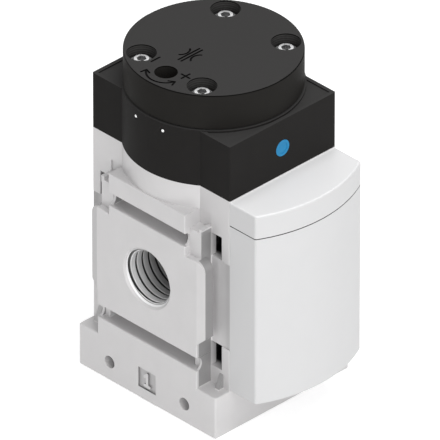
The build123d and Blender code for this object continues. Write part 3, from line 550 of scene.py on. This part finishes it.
def make_materials():
    """One material for each slot of the record."""
    return {
        "die_cast": grained_material(
            "die_cast",
            (0.645, 0.635, 0.638),
            0.45,
            0.25 * MM,
            0.012 * MM,
            variation=0.02,
            metallic=0.25,
            detail=cast_painted_shading,
        ),
        "black_housing": grained_material(
            "black_housing",
            (0.02, 0.019, 0.0185),
            0.58,
            0.16 * MM,
            0.01 * MM,
            specular=0.03,
            detail=housing_painted_light,
        ),
        "black_cap": grained_material(
            "black_cap",
            (0.0195, 0.0185, 0.0172),
            0.58,
            0.16 * MM,
            0.01 * MM,
            specular=0.03,
            detail=cap_painted_shading,
        ),
        "white_plastic": grained_material(
            "white_plastic",
            (0.70, 0.70, 0.705),
            0.42,
            0.2 * MM,
            0.004 * MM,
            variation=0.006,
            specular=0.3,
            detail=cover_painted_shading,
        ),
        "blue_plastic": grained_material(
            "blue_plastic",
            (0.018, 0.225, 0.46),
            0.45,
            0.15 * MM,
            0.004 * MM,
            specular=0.2,
        ),
        "bright_steel": metal_material(
            "bright_steel",
            (0.83, 0.83, 0.835),
            0.3,
            0.08 * MM,
            0.003 * MM,
            metallic=0.9,
            detail=screw_painted_shade,
        ),
        "spring_steel": metal_material(
            "spring_steel", (0.5, 0.5, 0.51), 0.3, 0.1 * MM, 0.003 * MM
        ),
        "aluminium": metal_material(
            "aluminium", (0.72, 0.72, 0.73), 0.35, 0.1 * MM, 0.004 * MM
        ),
        "brass": metal_material("brass", (0.78, 0.57, 0.25), 0.28, 0.1 * MM, 0.004 * MM),
        "seal_rubber": grained_material(
            "seal_rubber", (0.02, 0.02, 0.02), 0.65, 0.1 * MM, 0.006 * MM
        ),
    }


def dress_nodes(materials):
    """Every CAD node gets the material of its slot."""
    for subpart in frame["record"]["subparts"]:
        node = frame["nodes"][subpart["node"]]
        node.data.materials.clear()
        node.data.materials.append(materials[subpart["material_slot"]])


def add_piece(name, mesh_data, material, body):
    """New piece of the object, which rides on a body."""
    mesh = bpy.data.meshes.new(name)
    mesh_data.to_mesh(mesh)
    mesh_data.free()
    piece = bpy.data.objects.new(name, mesh)
    bpy.context.scene.collection.objects.link(piece)
    mesh.materials.append(material)
    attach(piece, body)


def port_thread(name, side, material):
    """Thread inside a port: broad crests with a narrow helical groove between them."""
    outer_r = port_r - thread_clearance
    crest_r = port_r - thread_depth
    face_x = abs(port_place.x)
    land = thread_pitch - thread_groove
    profile = [(0.0, outer_r)]
    for part in range(land_parts + 1):
        profile.append((thread_groove / 2 + land * part / land_parts, crest_r))
    profile.append((thread_pitch, outer_r))
    steps = int(thread_steps * (port_length / thread_pitch + 0.5))
    shape = bmesh.new()
    rings = []
    for step in range(-thread_steps, steps + 1):
        angle = thread_start + 2 * pi * step / thread_steps
        advance = thread_pitch * step / thread_steps
        ring = []
        for offset, radius in profile:
            depth = advance + offset + thread_shift - thread_pitch / 2
            depth = min(depth, port_length)
            depth = max(depth, 0.0)
            radius = max(radius, outer_r - depth)
            x = side * (face_x - depth)
            point = (x, axis_y + radius * cos(angle), port_z + side * radius * sin(angle))
            ring.append(shape.verts.new(point))
        rings.append(ring)
    for first, second in zip(rings, rings[1:]):
        for corner in range(len(profile)):
            following = (corner + 1) % len(profile)
            shape.faces.new((first[corner], first[following], second[following], second[corner]))
    shape.faces.new(rings[0])
    shape.faces.new(reversed(rings[-1]))
    bmesh.ops.remove_doubles(shape, verts=shape.verts, dist=weld_distance)
    bmesh.ops.dissolve_degenerate(shape, edges=shape.edges, dist=weld_distance)
    bmesh.ops.recalc_face_normals(shape, faces=shape.faces)
    add_piece(name, shape, material, "root")


def coil_spring():
    """The valve spring, which stands on the bottom plug, as a copy with its own mesh in place of the
    CAD node.
    """
    mesh = frame["nodes"]["valve_spring"].data.copy()
    spring = bpy.data.objects.new("coil_spring", mesh)
    bpy.context.scene.collection.objects.link(spring)
    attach(spring, "root")
    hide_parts("valve_spring")
    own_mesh(spring)


def direction(azimuth, elevation):
    """Unit vector towards the side that a view of this azimuth and elevation is taken from."""
    turn = radians(azimuth)
    rise = radians(elevation)
    return Vector((sin(turn) * cos(rise), -cos(turn) * cos(rise), sin(rise)))


def build_camera():
    """Camera at the photograph's angle and distance."""
    turn = radians(camera_azimuth)
    right = Vector((cos(turn), sin(turn), 0))
    back = direction(camera_azimuth, camera_elevation)
    up = back.cross(right)
    lens = bpy.data.cameras.new("camera")
    lens.lens = camera_lens
    lens.sensor_width = camera_sensor
    lens.clip_start = camera_near
    lens.clip_end = camera_far
    camera = bpy.data.objects.new("camera", lens)
    target = Vector((0, axis_y + look_at_y, look_at_z))
    eye = target + camera_distance * back
    camera.matrix_world = Matrix.Translation(eye) @ Matrix((right, up, back)).transposed().to_4x4()
    bpy.context.scene.collection.objects.link(camera)
    bpy.context.scene.camera = camera


def add_lamp(name, azimuth, elevation, level):
    """Square soft lamp that faces the object; azimuth is the side it stands on, as for a view."""
    away = direction(azimuth, elevation)
    data = bpy.data.lights.new(name, "AREA")
    data.shape = "SQUARE"
    data.size = lamp_size
    data.energy = level * pi**2 * lamp_distance**2
    lamp = bpy.data.objects.new(name, data)
    lamp.location = away * lamp_distance
    lamp.rotation_euler = away.to_track_quat("Z", "Y").to_euler()
    bpy.context.scene.collection.objects.link(lamp)


def seen_directly(tree):
    """1 for camera, glossy and transmission rays, 0 for the rays that light the object."""
    path = tree.nodes.new("ShaderNodeLightPath")
    seen = math(tree, "MAXIMUM", path.outputs["Is Camera Ray"], path.outputs["Is Transmission Ray"])
    return math(tree, "MAXIMUM", seen, path.outputs["Is Glossy Ray"])


def build_world():
    """Even white surroundings for the camera and for reflections, with softer light on the object."""
    world = bpy.data.worlds.new("surroundings")
    world.use_nodes = True
    bpy.context.scene.world = world
    tree = world.node_tree
    background = tree.nodes["Background"]
    background.inputs["Color"].default_value = (1, 1, 1, 1)
    level = math(tree, "MULTIPLY", seen_directly(tree), 1 - ambient_level)
    level = math(tree, "ADD", level, ambient_level)
    tree.links.new(level, background.inputs["Strength"])


def build_floor():
    """Pale floor that stays white for the camera, apart from a faint shadow."""
    shape = bmesh.new()
    bmesh.ops.create_grid(shape, x_segments=1, y_segments=1, size=floor_reach)
    mesh = bpy.data.meshes.new("floor")
    shape.to_mesh(mesh)
    shape.free()
    floor = bpy.data.objects.new("floor", mesh)
    floor.location.z = cad_box[0].z - floor_gap
    bpy.context.scene.collection.objects.link(floor)
    material, tree, shader = new_material("floor")
    shader.inputs["Base Color"].default_value = floor_colour
    shader.inputs["Roughness"].default_value = floor_rough
    shader.inputs["Specular IOR Level"].default_value = 0.0
    glow = tree.nodes.new("ShaderNodeEmission")
    strength = math(tree, "MULTIPLY", seen_directly(tree), floor_glow)
    tree.links.new(strength, glow.inputs["Strength"])
    total = tree.nodes.new("ShaderNodeAddShader")
    tree.links.new(shader.outputs["BSDF"], total.inputs[0])
    tree.links.new(glow.outputs["Emission"], total.inputs[1])
    tree.links.new(total.outputs["Shader"], tree.nodes["Material Output"].inputs["Surface"])
    mesh.materials.append(material)


scene = bpy.context.scene
scene.view_settings.view_transform = "Standard"
build_camera()
build_world()
build_floor()
add_lamp("top_lamp", 10, 80, top_level)
add_lamp("key_lamp", -28, 28, key_level)

materials = make_materials()
dress_nodes(materials)
coil_spring()
machined = machined_material()
port_thread("port_thread_1", -1, machined)
port_thread("port_thread_2", 1, machined)
